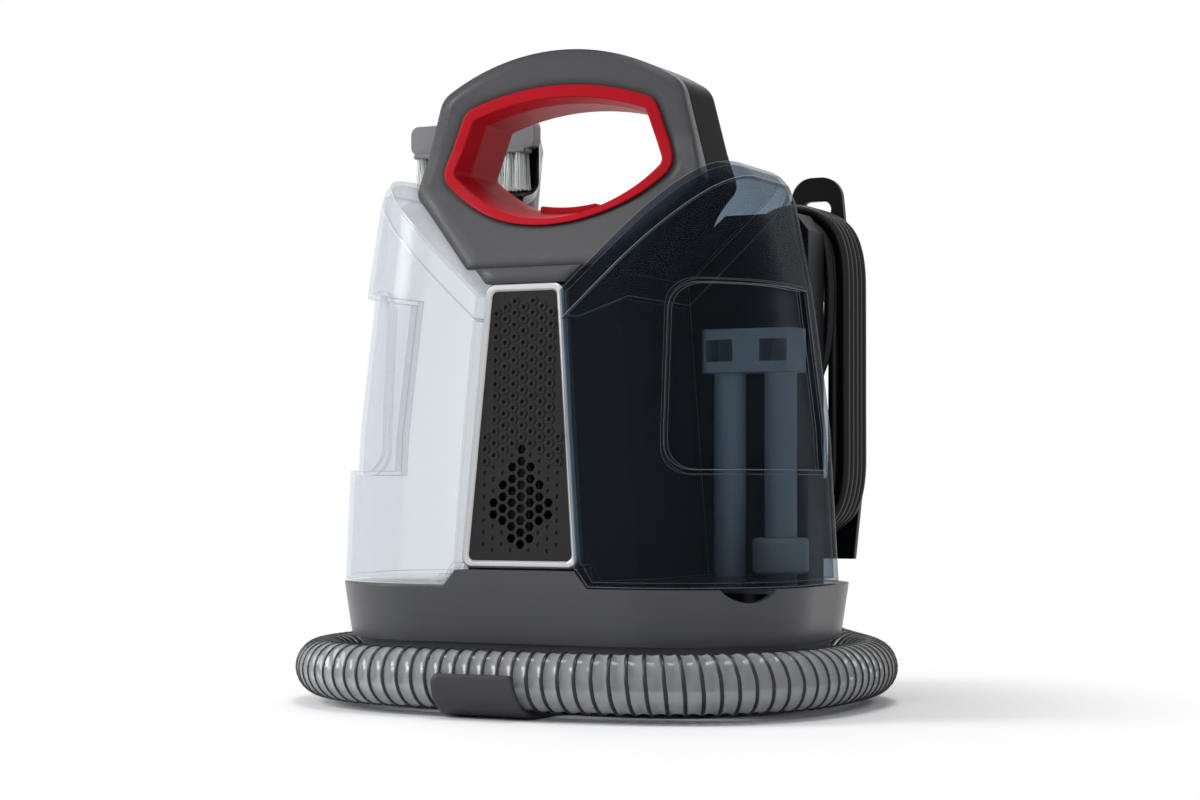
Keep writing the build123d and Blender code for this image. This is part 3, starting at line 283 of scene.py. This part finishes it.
def plastic(name, colour, rough, grain=0.00035, depth=0.06, soft=0.0009, shine=0.35):
    """Moulded plastic: fine spark-eroded grain, a slow drift of tone and gloss, softened edges."""
    made, field = blank(name)
    place = field.node("TexCoord", out="Object")
    cloud = field.node("TexNoise", {"Vector": place, "Scale": 14.0, "Detail": 4.0})
    pits = field.node("TexNoise", {"Vector": place, "Scale": 1.0 / grain, "Detail": 2.0})
    edge = field.node("Bevel", {"Radius": soft}, samples=4)
    pressed = {"Height": pits, "Strength": depth, "Distance": 0.0003, "Normal": edge}
    skin = field.node("Bump", pressed)
    dark = tuple(c * 0.88 for c in colour)
    pale = tuple(min(1.0, c * 1.12) for c in colour)
    return finish_with(
        made,
        Base_Color=cloud.between(dark, pale),
        Roughness=cloud * 0.10 + pits * 0.05 + (rough - 0.075),
        Normal=skin,
        Specular_IOR_Level=shine,
    )


hose_line = smooth_line("hose_line", HOSE_ROUTE, 32)
hose_places, hose_length = points_along(hose_line, HOSE_PITCH / RINGS_PER_PITCH)
hose_sides = frames_along(hose_places)
last_ring = len(hose_places) - 1
verts = []
for i, (place, (side, up)) in enumerate(zip(hose_places, hose_sides)):
    for k in range(HOSE_AROUND):
        turn = 2 * math.pi * k / HOSE_AROUND
        phase = (i * hose_length / last_ring / HOSE_PITCH - k / HOSE_AROUND) % 1.0
        sag = FILM_SAG * math.sin(math.pi * phase) ** 0.8
        if min(i, last_ring - i) < PLAIN_END_RINGS:
            sag = 0.0
        spread = HOSE_RADIUS - FILM_INSET - sag
        verts.append(place + (side * math.cos(turn) + up * math.sin(turn)) * spread)
hose_film = clear_plastic(
    "hose_film",
    tint=(0.86, 0.87, 0.88),
    film=(0.66, 0.67, 0.68),
    least=0.34,
    most=0.75,
    rough=0.10,
    rim=0.1,
)
faces = tube_faces(len(hose_places), HOSE_AROUND, ends=False)
hose = new_piece("hose_tube", verts, faces, hose_film)
bpy.data.objects.remove(hose_line)
helix_black = plastic("helix_black", (0.012, 0.012, 0.013), 0.32)
turns = hose_length / HOSE_PITCH
helix = []
for step in range(int(turns * HELIX_STEPS) + 1):
    along = min(step / HELIX_STEPS / turns, 1.0) * last_ring
    i = min(int(along), last_ring - 1)
    place = hose_places[i].lerp(hose_places[i + 1], along - i)
    side, up = hose_sides[i]
    turn = 2 * math.pi * step / HELIX_STEPS
    out = side * math.cos(turn) + up * math.sin(turn)
    helix.append((place + out * (HOSE_RADIUS - HELIX_WIRE + HELIX_PROUD), out))
verts = []
for i, (place, out) in enumerate(helix):
    ahead = (helix[min(i + 1, len(helix) - 1)][0] - helix[max(i - 1, 0)][0]).normalized()
    flat = ahead.cross(out).normalized()
    for k in range(HELIX_AROUND):
        turn = 2 * math.pi * k / HELIX_AROUND
        spread = flat * math.cos(turn) * HELIX_FLAT + out * math.sin(turn)
        verts.append(place + spread * HELIX_WIRE)
faces = tube_faces(len(helix), HELIX_AROUND)
hose_helix = new_piece("hose_helix", verts, faces, helix_black)
verts = []
for place, (side, up) in list(zip(hose_places, hose_sides))[::WATER_EVERY]:
    for k in range(WATER_AROUND):
        turn = 2 * math.pi * k / WATER_AROUND
        spread = side * math.cos(turn) + up * math.sin(turn)
        verts.append(place - WATER_DROP + spread * WATER_RADIUS)
tube_grey = plastic("water_tube_grey", (0.36, 0.37, 0.38), 0.3)
faces = tube_faces(len(verts) // WATER_AROUND, WATER_AROUND)
hose_water = new_piece("hose_water_tube", verts, faces, tube_grey)
for piece in (hose, hose_helix, hose_water):
    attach(piece, "machine")
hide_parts("suction_hose")

# Mains cord: black round flex from the boot on the rear cover, wound in two layers on the hooks,
# with a short tail that hangs down beside the winding and ends in its moulded plug.
CORD_RADIUS = 0.0031
CORD_STEP = 0.0067
CORD_HALF_TURNS = 11
LAST_HALF_TURN = 2 * CORD_HALF_TURNS - 2
FIRST_TURN_RADIUS = 0.0236
BEND_POINTS = 4
BEND_ANGLE = 45.0
HOOK_X = 0.090
HOOK_HIGH, HOOK_LOW = 0.247, 0.123
RUN_HIGH, RUN_LOW = 0.209, 0.161
CORD_FIRST_Y = 0.0698
route = [
    (0.104, CORD_FIRST_Y, 0.160),
    (0.104, CORD_FIRST_Y, 0.176),
    (0.1136, CORD_FIRST_Y, 0.198),
]
radius, y, top = FIRST_TURN_RADIUS, CORD_FIRST_Y, True
for half_turn in range(LAST_HALF_TURN + 1):
    if half_turn == CORD_HALF_TURNS:
        radius += CORD_STEP
    step = CORD_STEP / 2 if half_turn < CORD_HALF_TURNS else -CORD_STEP / 2
    reach = radius / math.cos(math.radians(BEND_ANGLE / 2))
    side, centre = (1, HOOK_HIGH) if top else (-1, HOOK_LOW)
    for k in range(BEND_POINTS):
        angle = math.radians(BEND_ANGLE * (k + 0.5))
        route.append((
            HOOK_X + side * reach * math.cos(angle),
            y + step * (k + 0.5) / BEND_POINTS,
            centre + side * reach * math.sin(angle),
        ))
    y += step
    x = HOOK_X - side * radius
    if half_turn == LAST_HALF_TURN:
        break
    first, second = (RUN_HIGH, RUN_LOW) if top else (RUN_LOW, RUN_HIGH)
    climb = CORD_STEP if half_turn == CORD_HALF_TURNS - 1 else 0.0
    route.append((x, y, first))
    route.append((x - climb, y, second))
    top = not top
route += [
    (x, y, 0.239),
    (0.053, 0.0737, 0.222),
    (0.0325, 0.0758, 0.200),
    (0.030, 0.076, 0.188),
    (0.030, 0.076, 0.178),
]
cord_black = plastic("cord_black", (0.004, 0.004, 0.005), 0.36, grain=0.0006, shine=0.2)
cord = smooth_line("power_cord_flex", route, 10)
cord.data.bevel_depth = CORD_RADIUS
cord.data.bevel_resolution = 5
cord.data.materials.append(cord_black)
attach(cord, "machine")
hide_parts("power_cord")

# Base: a two-part moulding of satin dark grey plastic. The shell stands proud of the tray so that
# the hose lies under its edge, four rubber feet are pressed in below, and a clip holds the hose.
def dress(material, *names):
    """Gives the pieces that are already there a finish."""
    for name in names:
        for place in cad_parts[name].material_slots:
            place.material = material


def metal(name, colour, rough, paint=1.0):
    """Metal, or paint that holds metal flakes: a fine scratched skin and softened edges."""
    made, field = blank(name)
    place = field.node("TexCoord", out="Object")
    scratch = field.node("TexNoise", {"Vector": place, "Scale": 900.0, "Detail": 3.0})
    cloud = field.node("TexNoise", {"Vector": place, "Scale": 30.0, "Detail": 3.0})
    edge = field.node("Bevel", {"Radius": 0.0007}, samples=4)
    pressed = {"Height": scratch, "Strength": 0.08, "Distance": 0.0002, "Normal": edge}
    skin = field.node("Bump", pressed)
    dark = tuple(c * 0.88 for c in colour)
    return finish_with(
        made,
        Base_Color=cloud.between(dark, colour),
        Metallic=paint,
        Roughness=scratch * 0.12 + (rough - 0.06),
        Normal=skin,
    )


base_grey = plastic("base_grey", (0.062, 0.063, 0.069), 0.30)
clip_grey = plastic("clip_grey", (0.034, 0.034, 0.038), 0.40, soft=0.0030)
foot_rubber = plastic("foot_rubber", (0.018, 0.018, 0.018), 0.82, grain=0.0008, depth=0.2)
screw_steel = metal("screw_steel", (0.62, 0.62, 0.61), 0.30)
dress(base_grey, "base_tray", "base_shell", "tank_wells", "port_collars")
dress(clip_grey, "hose_clip")
dress(foot_rubber, "rubber_feet")
dress(screw_steel, "base_screws")

# Tanks: two hollow mouldings that hang on the sides of the column. The clean one is clear, with a
# faint blue in its depth; the dirty one is tinted, and shows its riser tubes, hood and float.
clean_clear = clear_plastic(
    "clean_clear",
    tint=(0.955, 0.965, 0.975),
    film=(0.60, 0.66, 0.72),
    least=0.07,
    most=0.65,
    rough=0.06,
    rim=0.7,
    soft=0.0011,
)
dirty_tint = clear_plastic(
    "dirty_tint",
    tint=(0.71, 0.765, 0.81),
    film=(0.060, 0.074, 0.090),
    least=0.08,
    most=0.65,
    rough=0.08,
    rim=0.85,
    soft=0.0008,
    shine=0.06,
)
cap_grey = plastic("cap_grey", (0.060, 0.061, 0.066), 0.45)
seal_rubber = plastic("seal_rubber", (0.020, 0.020, 0.021), 0.75, grain=0.0007)
riser_grey = plastic("riser_grey", (0.50, 0.53, 0.56), 0.35)
float_white = plastic("float_white", (0.62, 0.62, 0.60), 0.45)
dress(clean_clear, "clean_tank_body", "clean_tank_top")
dress(dirty_tint, "dirty_tank_body", "dirty_tank_top")
dress(cap_grey, "clean_tank_cap", "dirty_tank_cap")
dress(seal_rubber, "clean_cap_seal", "dirty_cap_seal", "port_gaskets")
dress(riser_grey, "separator_tubes", "separator_hood")
dress(float_white, "float_ring", "valve_poppet")

# Column: the black upright shell between the tanks, in two halves, with the motor, fan, pump and
# their ducts inside. Of these little shows, and only through the vent.
column_black = plastic("column_black", (0.005, 0.005, 0.006), 0.34, depth=0.01, shine=0.10)
duct_grey = plastic("duct_grey", (0.040, 0.040, 0.043), 0.5)
motor_steel = metal("motor_steel", (0.50, 0.50, 0.50), 0.38)
pump_white = plastic("pump_white", (0.45, 0.45, 0.44), 0.5)
tube_clear = clear_plastic(
    "tube_clear",
    tint=(0.90, 0.92, 0.92),
    film=(0.6, 0.62, 0.62),
    least=0.15,
    most=0.7,
    rough=0.15,
)
dress(column_black, "column_front", "column_rear", "tank_receiver", "switch_body")
dress(duct_grey, "fan_housing", "impeller", "motor_mount", "suction_duct", "air_duct")
dress(motor_steel, "motor_can", "motor_shaft")
dress(pump_white, "pump")
dress(tube_clear, "water_tube_supply", "water_tube_pressure")

# Front panel: a black plate pressed with hexagons, open as a vent low down, in a bezel of satin
# silver paint that snaps into the column.
panel_black = plastic("panel_black", (0.006, 0.006, 0.007), 0.26, soft=0.0004, shine=0.32)
bezel_silver = metal("bezel_silver", (0.62, 0.62, 0.62), 0.36, paint=0.75)
dress(panel_black, "front_grille")
dress(bezel_silver, "front_bezel")

# Handle: a hollow loop in two halves, satin grey in front and gloss black behind, with a red liner
# round the hand opening and the red rocker of the power switch at its foot.
handle_grey = plastic("handle_grey", (0.066, 0.067, 0.071), 0.28, soft=0.0090)
handle_black = plastic(
    "handle_black", (0.003, 0.003, 0.004), 0.22, depth=0.02, soft=0.0030, shine=0.12
)
finish_with(handle_black, IOR=1.15)
trim_red = plastic("trim_red", (0.45, 0.004, 0.013), 0.42, soft=0.0018, shine=0.10)
dress(handle_grey, "handle_front", "neck_collar")
dress(handle_black, "handle_rear")
dress(trim_red, "handle_trim", "power_switch")

# Back: a flat housing and its cover, screwed to the column, with the two cord hooks, the hose port
# and the soft boot where the cord comes out.
back_black = plastic("back_black", (0.006, 0.006, 0.007), 0.42, depth=0.02, shine=0.15)
hook_black = plastic("hook_black", (0.004, 0.004, 0.005), 0.34, soft=0.0012, shine=0.15)
plug_black = plastic("plug_black", (0.012, 0.012, 0.013), 0.5, grain=0.0006)
pin_brass = metal("pin_brass", (0.78, 0.62, 0.32), 0.25)
cuff_grey = plastic("cuff_grey", (0.045, 0.045, 0.050), 0.48)
dress(back_black, "rear_housing", "rear_cover", "tool_holder")
dress(hook_black, "cord_hook_upper", "cord_hook_lower")
dress(plug_black, "power_plug", "cord_gland")
dress(pin_brass, "plug_pins")
dress(cuff_grey, "hose_port", "hose_cuff_base", "hose_cuff_tool")

# Hand tool: a black grip with a spray trigger and a dark nozzle, parked behind the left tank. Its
# head plate holds a brush of stiff white nylon tufts.
grip_black = plastic("grip_black", (0.006, 0.006, 0.007), 0.4, shine=0.2)
nozzle_smoke = plastic("nozzle_smoke", (0.008, 0.008, 0.009), 0.14)
plate_grey = plastic("plate_grey", (0.22, 0.22, 0.23), 0.34)
brush_white = plastic("brush_white", (0.88, 0.88, 0.86), 0.4, soft=0.0001)
finish_with(brush_white, Subsurface_Weight=0.4, Subsurface_Scale=0.004)
dress(grip_black, "tool_handle")
dress(trim_red, "tool_trigger")
dress(nozzle_smoke, "tool_nozzle")
dress(plate_grey, "tool_head_plate")
dress(screw_steel, "tool_screw")
BRUSH_AT = Vector((-0.1045, 0.0466, 0.3162))
BRUSH_LENGTH = 0.0220
TUFT_ROWS, TUFT_COLUMNS = 2, 10
ROW_GAP, COLUMN_GAP = 0.0048, 0.0074
TUFT_RADIUS, TUFT_WIDE, TUFT_DEEP = 0.0024, 1.25, 0.9
STRANDS, STRAND_AROUND = 30, 5
STRAND_TURN = 2.39996
STRAND_SHAPE = ((0.0, 0.00024), (0.55, 0.00024), (0.97, 0.00022), (1.0, 0.00010))
FAN, STRAY = 0.55, 0.0004
SHORTEST = 0.965


def around_at(angle, wide, deep):
    """A step across the brush, round an oval."""
    return Vector((math.cos(angle) * wide, math.sin(angle) * deep, 0))


chance = random.Random(5)
strand_faces = tube_faces(len(STRAND_SHAPE), STRAND_AROUND)
verts, faces = [], []
for row in range(TUFT_ROWS):
    for column in range(TUFT_COLUMNS):
        across = (column - (TUFT_COLUMNS - 1) / 2) * COLUMN_GAP
        middle = BRUSH_AT + Vector((across, (row - (TUFT_ROWS - 1) / 2) * ROW_GAP, 0))
        for strand in range(STRANDS):
            reach = TUFT_RADIUS * math.sqrt((strand + 0.5) / STRANDS)
            root = middle + around_at(strand * STRAND_TURN, reach * TUFT_WIDE, reach * TUFT_DEEP)
            stray = Vector((chance.uniform(-1, 1), chance.uniform(-1, 1), 0)) * STRAY
            drop = Vector((0, 0, BRUSH_LENGTH * chance.uniform(SHORTEST, 1.0)))
            tip = root + (root - middle) * FAN + stray - drop
            start = len(verts)
            for share, thick in STRAND_SHAPE:
                for k in range(STRAND_AROUND):
                    turn = 2 * math.pi * k / STRAND_AROUND
                    verts.append(root.lerp(tip, share) + around_at(turn, thick, thick))
            faces += [tuple(start + v for v in face) for face in strand_faces]
bristles = new_piece("brush_tufts", verts, faces, brush_white)
STRIP_SIZE = (0.076, 0.0096, 0.0030)
STRIP_RISE = Vector((0, 0, 0.0013))
STRIP_ROUND = 0.0006
stock = bmesh.new()
bmesh.ops.create_cube(stock, size=1.0)
bmesh.ops.scale(stock, vec=STRIP_SIZE, verts=stock.verts)
bmesh.ops.translate(stock, vec=BRUSH_AT + STRIP_RISE, verts=stock.verts)
bmesh.ops.bevel(stock, geom=stock.edges, offset=STRIP_ROUND, segments=3, affect="EDGES")
strip_mesh = bpy.data.meshes.new("brush_strip")
stock.to_mesh(strip_mesh)
stock.free()
strip_mesh.materials.append(plate_grey)
brush_strip = link(bpy.data.objects.new("brush_strip", strip_mesh))
for piece in (bristles, brush_strip):
    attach(piece, "tool_head")
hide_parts("tool_bristles")

# Studio: a pale floor that runs out to white, a white surround, a large soft lamp at the left
# front, a weak one at the right and one overhead.
def shown_rays(field):
    """1 for what the camera sees, straight or by way of gloss or glass, and 0 for plain light."""
    straight = field.node("LightPath", out="Is Camera Ray")
    gloss = field.node("LightPath", out="Is Glossy Ray")
    glass = field.node("LightPath", out="Is Transmission Ray")
    return straight.maths("MAXIMUM", gloss).maths("MAXIMUM", glass)


floor_pale, field = blank("floor_pale")
place = field.node("TexCoord", out="Object")
far = field.node("VectorMath", {0: place}, out="Value", operation="LENGTH")
speck = field.node("TexNoise", {"Vector": place, "Scale": 400.0, "Detail": 2.0})
finish_with(
    floor_pale,
    Base_Color=speck.between((0.90, 0.90, 0.90), (0.94, 0.94, 0.94)),
    Roughness=0.7,
)
white = field.node("Emission", {"Color": (1, 1, 1, 1), "Strength": 1.0})
PALE_TO, WHITE_FROM = 0.17, 0.36
fade = {0: far, 1: PALE_TO, 2: WHITE_FROM, 3: 0.0, 4: 1.0}
reach = field.node("MapRange", fade, interpolation_type="SMOOTHSTEP")
mix_over(floor_pale, reach * shown_rays(field), shader_of(floor_pale), white)
FLOOR_HALF, FLOOR_Z = 4.0, -0.0005
signs = ((-1, -1), (1, -1), (1, 1), (-1, 1))
corners = [(x * FLOOR_HALF, y * FLOOR_HALF, FLOOR_Z) for x, y in signs]
floor = new_piece("floor", corners, [(0, 1, 2, 3)], floor_pale, smooth=False)
AMBIENT = (0.24, 0.24, 0.25)
surround = bpy.data.worlds.new("surround")
surround.use_nodes = True
bpy.context.scene.world = surround
sky = shown_rays(Field(surround.node_tree)).between(AMBIENT, (1.0, 1.0, 1.0))
backdrop = surround.node_tree.nodes["Background"]
surround.node_tree.links.new(sky.socket, backdrop.inputs["Color"])


def soft_lamp(name, place, aim, size, watts):
    """A rectangular soft box that faces a point on the machine."""
    lamp = bpy.data.lights.new(name, "AREA")
    lamp.shape = "RECTANGLE"
    lamp.size, lamp.size_y = size
    lamp.energy = watts
    made = link(bpy.data.objects.new(name, lamp))
    made.location = place
    made.rotation_euler = (Vector(aim) - Vector(place)).to_track_quat("-Z", "Y").to_euler()


soft_lamp("lamp_left", (-1.9, -0.9, 1.2), (0, 0, 0.15), (0.7, 1.3), 46.0)
soft_lamp("lamp_right", (1.2, -2.0, 0.9), (0, 0, 0.15), (0.9, 1.2), 4.0)
soft_lamp("lamp_top", (0.1, 0.2, 2.0), (0, 0, 0.1), (0.8, 0.8), 20.0)
